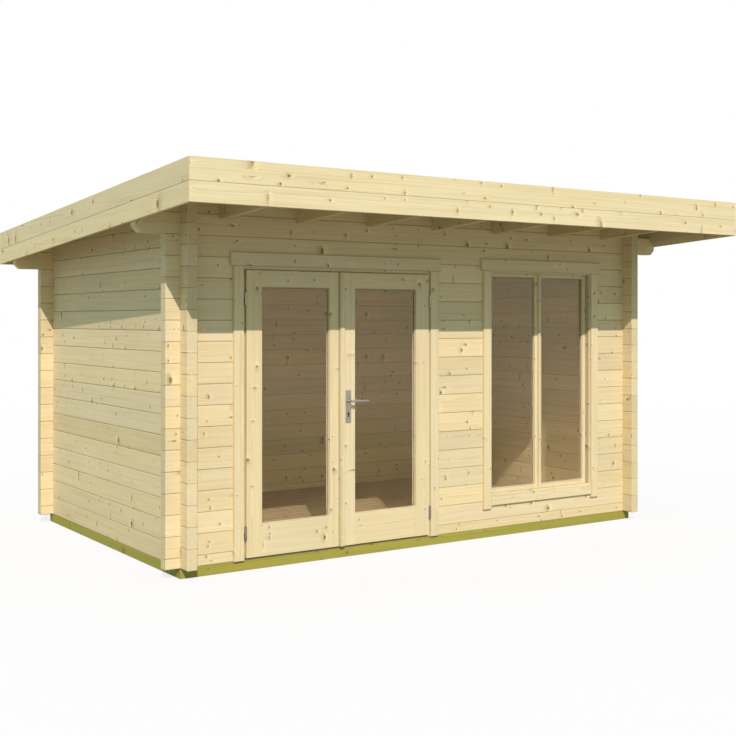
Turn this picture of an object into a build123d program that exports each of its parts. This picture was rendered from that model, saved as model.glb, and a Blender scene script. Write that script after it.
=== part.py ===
"""Log garden house with a double glazed door, a tall window and a roof that falls to the back.

Millimetres. +X runs to the right along the front, +Y from the front to the back, +Z up.
The origin is on the ground, in the middle of the walls' outline.
"""
import os
from math import ceil, floor

from build123d import *

# Walls: outer faces, and logs laid in rows that lock at the corners
wall_length = 3980.0
wall_depth = 2490.0
log_thickness = 70.0
log_height = 135.0
log_bevel = 4.0
corner_projection = 100.0
console_projection = 300.0
console_chamfer = 38.0
rows_over_openings = 1

# Bearers and floor
bearer_height = 66.0
bearer_width = 70.0
scarf_x = 990.0
scarf_run = 48.0
joist_width = 45.0
joist_spacing = 423.0
joist_count = 9
floor_thickness = 19.0
floor_gap = 5.0

# Roof
beam_width = 45.0
beam_height = 165.0
beam_spacing = 564.0
beam_count = 7
front_overhang = 795.0
back_overhang = 280.0
deck_thickness = 18.0
felt_thickness = 3.0
fascia_thickness = 18.0
fascia_rise = 53.0
upper_fascia_height = 135.0
lower_fascia_height = 120.0

# Door: two leaves that open outwards, in a frame with a metal threshold
door_centre = -798.0
door_leaves_width = 1468.0
door_leaf_bottom = 15.0
door_leaf_height = 1863.0
leaf_thickness = 40.0
leaf_proud = 18.0
leaf_gap = 5.0
meeting_gap = 6.0
meeting_offset = 27.5
hinge_stile_width = 118.0
meeting_stile_width = 107.5
top_rail_height = 113.0
bottom_rail_height = 217.0
door_post_width = 56.0
door_stop = 16.0
door_head_least = 40.0
threshold_height = 10.0
threshold_depth = 62.0
threshold_nose = 3.0
astragal_width = 38.0
astragal_thickness = 15.0

# Glass
glass_thickness = 4.0
glass_bite = 10.0
glass_edge_gap = 2.0
leaf_arris = 6.0
sash_arris = 8.0

# Door hinges, lever and lock
hinge_radius = 8.0
hinge_reach = 9.0
hinge_length = 83.0
hinge_split = 0.3
hinge_low = 165.0
hinge_high = 188.0
plate_width = 42.0
plate_length = 224.0
plate_thickness = 3.0
plate_bottom = 851.0
plate_inset = 47.0
plate_corner = 8.0
lever_height = 1001.0
lever_length = 135.0
lever_radius = 8.5
lever_thickness = 11.0
lever_tip_height = 12.0
lever_tip_chamfer = 2.0
lever_bend = 16.0
lever_reach = 48.0
spindle_width = 8.0
neck_clearance = 0.3
bore_clearance = 3.0
lock_drop = 85.0
lock_round_radius = 8.5
lock_web_width = 10.0
lock_height = 33.0
lock_proud = 2.0
lock_clearance = 0.3
keyway_width = 2.0
keyway_height = 8.0
keyway_depth = 8.0

# Window: two fixed sashes, set back in the wall
window_centre = 1036.0
window_width = 1026.0
window_bottom = 245.0
window_top = 1920.0
window_post_width = 40.0
sash_setback = 40.0
sash_thickness = 28.0
sash_width = 46.0
sash_meeting = 41.5
sash_split = 1.0
window_strip_width = 20.0
window_strip_thickness = 20.0
window_head_least = 30.0
window_sill_least = 30.0

# Casings round the door and the window
casing_width = 75.0
casing_thickness = 18.0
casing_edge = 2.5
door_casing_setback = 12.5
door_head_setback = 22.0
head_casing_height = 88.0
head_casing_ear = 21.0
sill_casing_height = 76.0
sill_casing_lift = 24.0

# Places worked out from the sizes above
left = -wall_length / 2
right = wall_length / 2
front = -wall_depth / 2
back = wall_depth / 2
base = bearer_height
half_row = log_height / 2


def row_ending_over(height):
    """The first row of the front wall that ends at or over a height above the bearers."""
    return ceil(height / log_height - 0.5)


def row_starting_under(height):
    """The last row of the front wall that starts at or under a height above the bearers."""
    return floor(height / log_height + 0.5)


door_top_row = row_ending_over(door_leaf_bottom + door_leaf_height + leaf_gap + door_head_least)
window_top_row = row_ending_over(window_top + window_head_least)
window_low_row = row_starting_under(window_bottom - window_sill_least)
console_row = max(door_top_row, window_top_row) + rows_over_openings + 1
front_rows = console_row + 1
back_rows = front_rows - 1
side_rows = front_rows + 1
roof_fall = log_height / (wall_depth - log_thickness)
beam_drop = beam_height * (1 + roof_fall**2) ** 0.5
deck_rise = deck_thickness * (1 + roof_fall**2) ** 0.5
felt_rise = deck_rise + felt_thickness
roof_left = left - console_projection
roof_right = right + console_projection
roof_front = front - front_overhang
roof_back = back + back_overhang
door_opening_top = base + (door_top_row + 0.5) * log_height
window_opening_top = base + (window_top_row + 0.5) * log_height
window_opening_low = base + (window_low_row - 0.5) * log_height

os.makedirs("parts", exist_ok=True)


def save(shape, node):
    """Write one node, as one solid or as a compound of solids that don't touch."""
    if isinstance(shape, (list, tuple, ShapeList)):
        shape = Compound(children=[s for item in shape for s in item.solids()])
    export_step(shape, f"parts/{node}.step")


def block(x0, x1, y0, y1, z0, z1):
    """A box between two corners."""
    size = Box(x1 - x0, y1 - y0, z1 - z0, align=(Align.MIN, Align.MIN, Align.MIN))
    return Pos(x0, y0, z0) * size


def along_x(points, x0, x1):
    """A solid with the outline points, given as (y, z), from x0 to x1."""
    face = make_face(Polyline(*[(x0, y, z) for y, z in points], close=True))
    return extrude(face, amount=x1 - x0, dir=(1, 0, 0))


def along_z(points, z0, z1):
    """A solid with the plan outline points, given as (x, y), from z0 to z1."""
    face = make_face(Polyline(*[(x, y, z0) for x, y in points], close=True))
    return extrude(face, amount=z1 - z0, dir=(0, 0, 1))


def eased(board, axis, size=casing_edge):
    """A board with the long front edges taken off, where the front faces -axis."""
    edges = board.faces().sort_by(axis)[0].edges()
    return chamfer(edges, size)


def roof_z(y):
    """Height of the underside of the roof boards, which fall to the back."""
    return base + (front_rows + 0.5) * log_height - roof_fall * (y - front)


def roof_layer(low, high, x0, x1, y0=roof_front, y1=roof_back):
    """A layer parallel to the roof, between two heights over the boards' underside."""
    corners = [(y0, roof_z(y0) + low), (y1, roof_z(y1) + low)]
    corners += [(y1, roof_z(y1) + high), (y0, roof_z(y0) + high)]
    return along_x(corners, x0, x1)


def log(x0, x1, z0, height, crossings, notched_below=True):
    """A bevelled log along X about y = 0, with quarter-height notches where it crosses another wall."""
    side, flat = log_thickness / 2, log_thickness / 2 - log_bevel
    low, high = z0 + log_bevel, z0 + height - log_bevel
    outline = [(-side, low), (-flat, z0), (flat, z0), (side, low)]
    outline += [(side, high), (flat, z0 + height), (-flat, z0 + height), (-side, high)]
    solid = along_x(outline, x0, x1)
    notch = log_height / 4
    reach = log_thickness
    for x in crossings:
        z1 = z0 + height
        solid -= block(x, x + log_thickness, -reach, reach, z1 - notch, z1 + notch)
        if notched_below:
            solid -= block(x, x + log_thickness, -reach, reach, z0 - notch, z0 + notch)
    return solid


def cross_wall_row(row, y_mid, x0, x1, spans=None):
    """One row of the front or back wall, as one log or as the spans left beside openings."""
    z0 = base if row == 0 else base + (row - 0.5) * log_height
    height = half_row if row == 0 else log_height
    corners = [left, right - log_thickness]
    pieces = []
    for a, b in spans or [(x0, x1)]:
        crossings = [x for x in corners if a <= x < b]
        piece = log(a, b, z0, height, crossings, notched_below=row > 0)
        pieces.append(Pos(0, y_mid, 0) * piece)
    return pieces


def side_wall_row(row, x_mid):
    """One row of a side wall, cut to the fall of the roof."""
    z0 = base + row * log_height
    ends = [front - corner_projection, back + corner_projection]
    crossings = [front, back - log_thickness]
    solid = log(*ends, z0, log_height, crossings)
    solid = Pos(x_mid, 0, 0) * Rot(0, 0, 90) * solid
    return solid - above_roof if row >= back_rows - 1 else solid


above_roof = roof_layer(0, 3 * log_height, 2 * roof_left, 2 * roof_right, 2 * roof_front, 2 * roof_back)

# Roof beams, which the walls' top logs are notched for
inner_middles = [(n - (beam_count - 1) / 2) * beam_spacing for n in range(beam_count)]
outer_middles = [roof_left + beam_width / 2, roof_right - beam_width / 2]
beams = [
    roof_layer(-beam_drop, 0, x - beam_width / 2, x + beam_width / 2)
    for x in inner_middles + outer_middles
]
save(beams, "roof_beams")


# Bearers: the front one is two pieces, joined on a slant
def make_bearers():
    top, y1 = bearer_height, front + bearer_width
    slant = [(left, 0), (scarf_x + scarf_run, 0), (scarf_x, top), (left, top)]
    rest = [(scarf_x + scarf_run, 0), (right, 0), (right, top), (scarf_x, top)]
    for points, node in ((slant, "front_bearer_left"), (rest, "front_bearer_right")):
        face = make_face(Polyline(*[(x, front, z) for x, z in points], close=True))
        save(extrude(face, amount=bearer_width, dir=(0, 1, 0)), node)
    save(block(left, right, back - bearer_width, back, 0, top), "back_bearer")
    inner_back = back - bearer_width
    sides = [block(left, left + bearer_width, y1, inner_back, 0, top)]
    sides += [block(right - bearer_width, right, y1, inner_back, 0, top)]
    save(sides, "side_bearers")
    joists = []
    for n in range(joist_count):
        x = (n - (joist_count - 1) / 2) * joist_spacing
        joists.append(block(x - joist_width / 2, x + joist_width / 2, y1, inner_back, 0, top))
    save(joists, "floor_joists")


def make_floor():
    inset = log_thickness + floor_gap
    top = base + floor_thickness
    save(block(left + inset, right - inset, front + inset, back - inset, base, top), "floor")


def split_rows(rows, name):
    """Save rows of logs in two nodes, every other row in each, so that none in a node touch."""
    for start, word in ((0, "even"), (1, "odd")):
        picked = [piece for row in rows[start::2] for piece in row]
        save(picked, f"{name}_{word}_logs")


def make_walls():
    x0, x1 = left - corner_projection, right + corner_projection
    front_mid = front + log_thickness / 2
    back_mid = back - log_thickness / 2
    door_half = door_leaves_width / 2 + leaf_gap + door_post_width
    door = (door_centre - door_half, door_centre + door_half)
    window_half = window_width / 2 + window_post_width
    window = (window_centre - window_half, window_centre + window_half)
    front_logs = []
    for row in range(console_row):
        edges = [x0]
        if row <= door_top_row:
            edges += door
        if window_low_row <= row <= window_top_row:
            edges += window
        edges.append(x1)
        pieces = cross_wall_row(row, front_mid, x0, x1, list(zip(edges[::2], edges[1::2])))
        front_logs.append(pieces)
    split_rows(front_logs, "front_wall")
    back_logs = [cross_wall_row(row, back_mid, x0, x1) for row in range(back_rows - 1)]
    split_rows(back_logs, "back_wall")
    for x_mid, name in (
        (left + log_thickness / 2, "left_wall"),
        (right - log_thickness / 2, "right_wall"),
    ):
        split_rows([[side_wall_row(row, x_mid)] for row in range(side_rows)], name)


def make_console_logs():
    """The logs that run on past the corners to carry the outer beams."""
    consoles = []
    for row, y in ((front_rows - 1, front), (back_rows - 1, back - log_thickness)):
        middle = y + log_thickness / 2
        solid = cross_wall_row(row, middle, roof_left, roof_right)[0]
        low = base + (row - 0.5) * log_height
        c = console_chamfer
        for end, turn in ((roof_left, 1), (roof_right, -1)):
            corner = [(end, low), (end + turn * c, low), (end, low + c)]
            face = make_face(Polyline(*[(x, y, z) for x, z in corner], close=True))
            solid -= extrude(face, amount=log_thickness, dir=(0, 1, 0))
        for beam in beams:
            solid -= beam
        consoles.append(solid)
    save(consoles, "console_logs")


def make_top_logs():
    """The walls' top rows, in lengths that fit between the beams."""
    x0, x1 = left - corner_projection, right + corner_projection
    pieces = []
    for row, middle in (
        (front_rows, front + log_thickness / 2),
        (back_rows, back - log_thickness / 2),
    ):
        solid = cross_wall_row(row, middle, x0, x1)[0] - above_roof
        for beam in beams:
            solid -= beam
        pieces.append(solid)
    save(pieces, "top_logs")


def make_roof():
    save(roof_layer(0, deck_rise, roof_left, roof_right), "roof_deck")
    save(roof_layer(deck_rise, felt_rise, roof_left, roof_right), "roofing_felt")
    t = fascia_thickness
    inner = [(roof_left, roof_front), (roof_right, roof_front)]
    inner += [(roof_right, roof_back), (roof_left, roof_back)]
    outer = [(roof_left - t, roof_front - t), (roof_right + t, roof_front - t)]
    outer += [(roof_right + t, roof_back + t), (roof_left - t, roof_back + t)]
    joint = fascia_rise - upper_fascia_height
    layers = (("upper", joint, fascia_rise), ("lower", joint - lower_fascia_height, joint))
    for word, low, high in layers:
        layer = roof_layer(
            low, high, roof_left - t, roof_right + t, roof_front - t, roof_back + t
        )
        boards = []
        for n in range(4):
            m = (n + 1) % 4
            plan = along_z([outer[n], outer[m], inner[m], inner[n]], 0, 2 * roof_z(front))
            boards.append(plan & layer)
        save([boards[0], boards[2]], f"front_back_{word}_fascias")
        save([boards[1], boards[3]], f"side_{word}_fascias")


# Door
leaf_front = front - leaf_proud
leaf_back = leaf_front + leaf_thickness
leaf_low = base + door_leaf_bottom
leaf_high = leaf_low + door_leaf_height
leaves_left = door_centre - door_leaves_width / 2
leaves_right = door_centre + door_leaves_width / 2
meeting = door_centre - meeting_offset
plate_middle = door_centre + plate_inset
lever_z = base + lever_height
lock_z = lever_z - lock_drop
stop_face = leaf_back + leaf_gap


def make_door_frame():
    inner = front + log_thickness
    face = leaves_left - leaf_gap
    outline = [(face - door_post_width, front), (face, front), (face, stop_face)]
    outline += [(face + door_stop, stop_face), (face + door_stop, inner)]
    outline += [(face - door_post_width, inner)]
    post = along_z(outline, base, leaf_high + leaf_gap)
    mirrored = mirror(post, about=Plane((door_centre, 0, 0), x_dir=(0, 1, 0), z_dir=(1, 0, 0)))
    save([post, mirrored], "door_posts")
    low = leaf_high + leaf_gap
    section = [(front, low), (stop_face, low), (stop_face, low - door_stop)]
    section += [(inner, low - door_stop), (inner, door_opening_top), (front, door_opening_top)]
    head = along_x(section, face - door_post_width, leaves_right + leaf_gap + door_post_width)
    head -= post + mirrored
    save(head, "door_head")
    top = base + threshold_height
    x0, x1 = leaves_left - leaf_gap, leaves_right + leaf_gap
    nose = threshold_nose
    section = [(front, base), (front, top - nose), (front + nose, top)]
    section += [(front + threshold_depth, top), (front + threshold_depth, base)]
    sill = along_x(section, x0, x1) - post - mirrored
    save(sill, "door_threshold")


def glazed_frame(outline, opening, y0, y1, arris):
    """Two stiles, two rails with an arris round the opening, and the pane in their groove."""
    x0, x1, z0, z1 = outline
    a, b, c, d = opening
    middle = (y0 + y1) / 2
    g0, g1 = middle - glass_thickness / 2, middle + glass_thickness / 2
    rings = []
    for y, out in ((y0 - arris, 2 * arris), (y0 + arris, 0)):
        corners = [(a - out, c - out), (b + out, c - out), (b + out, d + out), (a - out, d + out)]
        rings.append(make_face(Polyline(*[(x, y, z) for x, z in corners], close=True)))
    bite = glass_bite
    groove = block(a - bite, b + bite, g0, g1, c - bite, d + bite)
    cut = loft(rings, ruled=True) + groove
    stiles = [block(x0, a, y0, y1, z0, z1) - cut, block(b, x1, y0, y1, z0, z1) - cut]
    rails = [block(a, b, y0, y1, z0, c) - cut, block(a, b, y0, y1, d, z1) - cut]
    reach = glass_bite - glass_edge_gap
    pane = block(a - reach, b + reach, g0, g1, c - reach, d + reach)
    return stiles, rails, pane


def lock_profile(y0, y1, grow=0.0):
    """The keyhole-shaped section of the lock cylinder, from y0 to y1, larger by a clearance."""
    span, middle = y1 - y0, (y0 + y1) / 2
    web = lock_web_width / 2 + grow
    foot = lock_z + lock_round_radius - lock_height + lock_web_width / 2
    lying = Rot(90, 0, 0)
    solid = Pos(plate_middle, middle, lock_z) * lying * Cylinder(lock_round_radius + grow, span)
    solid += block(plate_middle - web, plate_middle + web, y0, y1, foot, lock_z)
    return solid + Pos(plate_middle, middle, foot) * lying * Cylinder(web, span)


def make_leaf(x0, x1, hinge_on_left, name):
    """One leaf: two stiles and two rails, grooved for a pane of glass."""
    first, last = hinge_stile_width, meeting_stile_width
    if hinge_on_left:
        inner0, inner1 = x0 + first, door_centre - last
    else:
        inner0, inner1 = door_centre + last, x1 - first
    opening = (inner0, inner1, leaf_low + bottom_rail_height, leaf_high - top_rail_height)
    outline = (x0, x1, leaf_low, leaf_high)
    stiles, rails, pane = glazed_frame(outline, opening, leaf_front, leaf_back, leaf_arris)
    if not hinge_on_left:
        bore = Cylinder(lever_radius + bore_clearance, 2 * wall_depth)
        stiles[0] -= Pos(plate_middle, 0, lever_z) * Rot(90, 0, 0) * bore
        stiles[0] -= lock_profile(2 * leaf_front, 0, lock_clearance)
    save(stiles, f"{name}_leaf_stiles")
    save(rails, f"{name}_leaf_rails")
    save(pane, f"{name}_leaf_glass")


def make_leaves():
    make_leaf(leaves_left, meeting - meeting_gap / 2, True, "left")
    make_leaf(meeting + meeting_gap / 2, leaves_right, False, "right")
    x0 = meeting + meeting_gap / 2
    cover = block(
        x0, x0 + astragal_width, leaf_front - astragal_thickness, leaf_front, leaf_low, leaf_high
    )
    long_edges = cover.faces().sort_by(Axis.Y)[0].edges().filter_by(Axis.Z)
    save(chamfer(long_edges, casing_edge), "astragal")


def hinge_half(x, y, web, middle, turn):
    """One half of a barrel with its web, over the hinge's middle for turn 1 and under it for -1."""
    half = (hinge_length - hinge_split) / 2
    z = middle + turn * (hinge_split + half) / 2
    barrel = Pos(x, y, z) * Cylinder(hinge_radius, half)
    return barrel + block(*web, z - half / 2, z + half / 2)


def make_hinges():
    """Lift-off hinges in the gap beside each leaf: the lower half on the post, the upper on the leaf."""
    y = leaf_front - hinge_radius / 2
    web = hinge_radius / 2
    frame_halves, leaf_halves = [], {"left": [], "right": []}
    for name, edge, turn in (("left", leaves_left, 1), ("right", leaves_right, -1)):
        x = edge - turn * hinge_reach
        for z in (leaf_low + hinge_low, leaf_high - hinge_high):
            post_web = (x - web, x + web, y, front)
            leaf_web = (*sorted([x, edge]), leaf_front, leaf_front + web)
            frame_halves.append(hinge_half(x, y, post_web, z, -1))
            leaf_halves[name].append(hinge_half(x, y, leaf_web, z, 1))
    save(frame_halves, "frame_hinges")
    save(leaf_halves["left"], "left_leaf_hinges")
    save(leaf_halves["right"], "right_leaf_hinges")


def make_lock():
    """A long plate on each face of the right leaf, and the lock cylinder through both."""
    w, t = plate_width / 2, plate_thickness
    z0 = base + plate_bottom
    bore = Pos(plate_middle, 0, lever_z) * Rot(90, 0, 0)
    bore = bore * Cylinder(lever_radius + neck_clearance, 2 * wall_depth)
    pieces = []
    for y0 in (leaf_front - t, leaf_back):
        plate = block(plate_middle - w, plate_middle + w, y0, y0 + t, z0, z0 + plate_length)
        plate = fillet(plate.edges().filter_by(Axis.Y), plate_corner)
        pieces.append(plate - bore - lock_profile(y0 - t, y0 + 2 * t, lock_clearance))
    y0, y1 = leaf_front - t - lock_proud, leaf_back + t + lock_proud
    cylinder = lock_profile(y0, y1)
    key, high = keyway_width / 2, keyway_height / 2
    for a, b in ((y0, y0 + keyway_depth), (y1 - keyway_depth, y1)):
        cylinder -= block(plate_middle - key, plate_middle + key, a, b, lock_z - high, lock_z + high)
    save(pieces + [cylinder], "door_lock")


def make_lever():
    """A square spindle with a lever at each end: a round neck and a flat bar that turns and tapers."""
    r, half, tip = lever_radius, lever_thickness / 2, lever_tip_height / 2
    x, y = plate_middle, leaf_front - lever_reach
    x_bend, y_bend, x_tip = x + lever_bend, y + lever_bend, x + lever_length
    neck_span = leaf_front - y_bend
    neck = Pos(x, y_bend + neck_span / 2, lever_z) * Rot(90, 0, 0) * Cylinder(r, neck_span)
    ring = Pos(x_bend, y_bend) * (Circle(lever_bend + half) - Circle(lever_bend - half))
    elbow = ring & Pos(x_bend - lever_bend, y_bend - lever_bend) * Rectangle(2 * lever_bend, 2 * lever_bend)
    grip = Pos((x_bend + x_tip) / 2, y) * Rectangle(x_tip - x_bend, lever_thickness)
    bar = extrude(Pos(0, 0, lever_z - r) * (elbow + grip), amount=2 * r, dir=(0, 0, 1))
    taper = [(x - half, -r), (x_bend, -r), (x_tip, -tip), (x_tip, tip), (x_bend, r), (x - half, r)]
    face = make_face(Polyline(*[(px, y - half, lever_z + pz) for px, pz in taper], close=True))
    bar = bar & extrude(face, amount=lever_bend + half, dir=(0, 1, 0))
    outer = neck + chamfer(bar.faces().sort_by(Axis.X)[-1].edges(), lever_tip_chamfer)
    middle = (leaf_front + leaf_back) / 2
    inner = mirror(outer, about=Plane(origin=(0, middle, 0), z_dir=(0, 1, 0)))
    spindle = Pos(x, middle, lever_z) * Box(spindle_width, leaf_thickness + lever_reach, spindle_width)
    save(outer + inner + spindle, "door_lever")


# Window
window_left = window_centre - window_width / 2
window_right = window_centre + window_width / 2
sash_front = front + sash_setback
sash_back = sash_front + sash_thickness


def make_window():
    inner = front + log_thickness
    low, high = base + window_bottom, base + window_top
    foot, top = window_opening_low, window_opening_top
    post = window_post_width
    posts = [block(window_left - post, window_left, front, inner, foot, top)]
    posts += [block(window_right, window_right + post, front, inner, foot, top)]
    save(posts, "window_posts")
    rails = [block(window_left, window_right, front, inner, foot, low)]
    rails += [block(window_left, window_right, front, inner, high, top)]
    save(rails, "window_head_and_sill")
    stiles, sash_rails, panes = [], [], []
    split = sash_split / 2
    for x0, x1, w0, w1 in (
        (window_left, window_centre - split, sash_width, sash_meeting - split),
        (window_centre + split, window_right, sash_meeting - split, sash_width),
    ):
        opening = (x0 + w0, x1 - w1, low + sash_width, high - sash_width)
        outline = (x0, x1, low, high)
        pair, rails, pane = glazed_frame(outline, opening, sash_front, sash_back, sash_arris)
        stiles += pair
        sash_rails += rails
        panes.append(pane)
    save(stiles, "window_sash_stiles")
    save(sash_rails, "window_sash_rails")
    save(panes, "window_glass")


def make_casings():
    y0, y1 = front - casing_thickness, front
    door0 = leaves_left - leaf_gap - door_casing_setback
    door1 = leaves_right + leaf_gap + door_casing_setback
    door_top = leaf_high + leaf_gap + door_head_setback
    window_top_edge = base + window_top
    window_foot = base + window_bottom - sill_casing_height - sill_casing_lift
    w = casing_width
    sides = [
        (door0 - w, door0, base, door_top),
        (door1, door1 + w, base, door_top),
        (window_left - w, window_left, window_foot, window_top_edge),
        (window_right, window_right + w, window_foot, window_top_edge),
    ]
    uprights = [eased(block(a, b, y0, y1, c, d), Axis.Y) for a, b, c, d in sides]
    half = window_strip_width / 2
    strip = block(
        window_centre - half,
        window_centre + half,
        sash_front - window_strip_thickness,
        sash_front,
        base + window_bottom,
        window_top_edge,
    )
    save(uprights + [eased(strip, Axis.Y)], "upright_casings")
    ear, tall = head_casing_ear, head_casing_height
    sill_top = base + window_bottom
    boards = [
        (door0 - w - ear, door1 + w + ear, door_top, door_top + tall),
        (window_left - w - ear, window_right + w + ear, window_top_edge, window_top_edge + tall),
        (window_left, window_right, sill_top - sill_casing_height, sill_top),
    ]
    cross = [eased(block(a, b, y0, y1, c, d), Axis.Y) for a, b, c, d in boards]
    save(cross, "cross_casings")


make_bearers()
make_floor()
make_walls()
make_console_logs()
make_top_logs()
make_roof()
make_door_frame()
make_leaves()
make_hinges()
make_lock()
make_lever()
make_window()
make_casings()
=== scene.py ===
# Garden house of interlocking logs: wood, glass, metal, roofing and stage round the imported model
import math
import random

import bmesh
import bpy
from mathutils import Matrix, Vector


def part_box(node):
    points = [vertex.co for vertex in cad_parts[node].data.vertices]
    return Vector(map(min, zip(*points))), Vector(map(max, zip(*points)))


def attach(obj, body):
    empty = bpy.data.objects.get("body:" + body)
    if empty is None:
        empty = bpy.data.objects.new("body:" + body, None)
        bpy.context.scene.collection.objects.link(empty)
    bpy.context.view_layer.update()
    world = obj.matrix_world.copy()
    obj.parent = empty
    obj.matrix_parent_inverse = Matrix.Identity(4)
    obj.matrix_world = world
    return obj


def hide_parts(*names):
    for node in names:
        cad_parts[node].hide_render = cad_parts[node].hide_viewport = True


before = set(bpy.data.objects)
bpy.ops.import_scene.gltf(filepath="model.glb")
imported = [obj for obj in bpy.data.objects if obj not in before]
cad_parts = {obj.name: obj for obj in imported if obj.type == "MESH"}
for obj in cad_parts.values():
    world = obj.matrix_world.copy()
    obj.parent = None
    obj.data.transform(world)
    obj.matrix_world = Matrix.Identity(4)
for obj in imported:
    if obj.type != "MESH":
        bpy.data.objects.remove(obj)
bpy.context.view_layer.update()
scene = bpy.context.scene
print("frame:", len(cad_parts), "nodes")


# Small helpers for node trees, of shaders and of geometry

def feed(tree, sockets, values):
    # A value is a number, a colour, another node's output, or None to leave the socket alone
    for socket, value in zip(sockets, values):
        if isinstance(value, bpy.types.NodeSocket):
            tree.links.new(value, socket)
        elif value is not None:
            socket.default_value = value


def add(tree, kind, inputs=None, **settings):
    # A node with its settings, and then its inputs by name or number
    node = tree.nodes.new(kind)
    for label, value in settings.items():
        setattr(node, label, value)
    for label, value in (inputs or {}).items():
        feed(tree, [node.inputs[label]], [value])
    return node


def calc(tree, operation, *values):
    node = add(tree, "ShaderNodeMath", operation=operation)
    feed(tree, node.inputs, values)
    return node.outputs[0]


def times(tree, first, *others):
    for value in others:
        first = calc(tree, "MULTIPLY", first, value)
    return first


def plus(tree, first, *others):
    for value in others:
        first = calc(tree, "ADD", first, value)
    return first


def ramp(tree, value, slope, start):
    return calc(tree, "MULTIPLY_ADD", value, slope, start)


def swing(tree, mask, amount, middle=0.0):
    # A mask from 0 to 1 becomes a value that swings by the amount about the middle
    return ramp(tree, mask, amount, middle - amount / 2)


def vectorCalc(tree, operation, *values):
    node = add(tree, "ShaderNodeVectorMath", operation=operation)
    if operation == "SCALE":
        feed(tree, [node.inputs[0], node.inputs["Scale"]], values)
    else:
        feed(tree, node.inputs, values)
    return node.outputs["Value" if operation == "LENGTH" else "Vector"]


def split(tree, vector):
    return add(tree, "ShaderNodeSeparateXYZ", {"Vector": vector}).outputs


def combine(tree, *values):
    node = add(tree, "ShaderNodeCombineXYZ")
    feed(tree, node.inputs, values)
    return node.outputs[0]


def ease(tree, value, fromLow, fromHigh, toLow=0.0, toHigh=1.0):
    node = add(tree, "ShaderNodeMapRange", interpolation_type="SMOOTHSTEP")
    feed(tree, node.inputs, [value, fromLow, fromHigh, toLow, toHigh])
    return node.outputs[0]


def mixColour(tree, factor, first, second):
    settings = {"data_type": "RGBA", "clamp_factor": True}
    return add(tree, "ShaderNodeMix", {"Factor": factor, 6: first, 7: second}, **settings).outputs[2]


def noise(tree, vector, scale=1.0, detail=2.0, roughness=0.5):
    inputs = {"Vector": vector, "Scale": scale, "Detail": detail, "Roughness": roughness}
    return add(tree, "ShaderNodeTexNoise", inputs).outputs


def grainNoise(tree, place, scales, **settings):
    # Noise with one scale along the grain and one across it
    along, across = scales
    return noise(tree, vectorCalc(tree, "MULTIPLY", place, (along, across, across)), **settings)


def newTree(family, name, inputs, outputs):
    # Inputs and outputs are the labels of each kind of socket
    tree = bpy.data.node_groups.new(name, family)
    for way, kinds in (("INPUT", inputs), ("OUTPUT", outputs)):
        for kind, labels in kinds.items():
            for label in labels:
                tree.interface.new_socket(label, in_out=way, socket_type="NodeSocket" + kind)
    return tree, tree.nodes.new("NodeGroupInput").outputs, tree.nodes.new("NodeGroupOutput").inputs


def newMaterial(name, fixed):
    # The material, its tree and its main shader, some of whose inputs are fixed
    material = bpy.data.materials.new(name)
    material.use_nodes = True
    shader = material.node_tree.nodes["Principled BSDF"]
    for label, value in fixed.items():
        shader.inputs[label].default_value = value
    return material, material.node_tree, shader


def newObject(name, data):
    made = bpy.data.objects.new(name, data)
    scene.collection.objects.link(made)
    return made


def objectPlace(tree):
    return add(tree, "ShaderNodeTexCoord").outputs["Object"]


def bumped(tree, height, bump):
    return add(tree, "ShaderNodeBump", {"Height": height, **bump}).outputs["Normal"]


def feedShader(tree, shader, tone, rough=None, normal=None):
    feed(tree, [shader.inputs["Base Color"], shader.inputs["Roughness"], shader.inputs["Normal"]],
         [tone, rough, normal])


def mixSurface(tree, output, factor, first, second):
    mix = add(tree, "ShaderNodeMixShader")
    feed(tree, mix.inputs, [factor, first, second])
    tree.links.new(mix.outputs[0], tree.nodes[output].inputs["Surface"])


# Sawn softwood, cut from a round trunk: rings about the pith, knots that run out from it,
# and fibres along the grain. A place is measured from the pith, with the grain along its x

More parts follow.
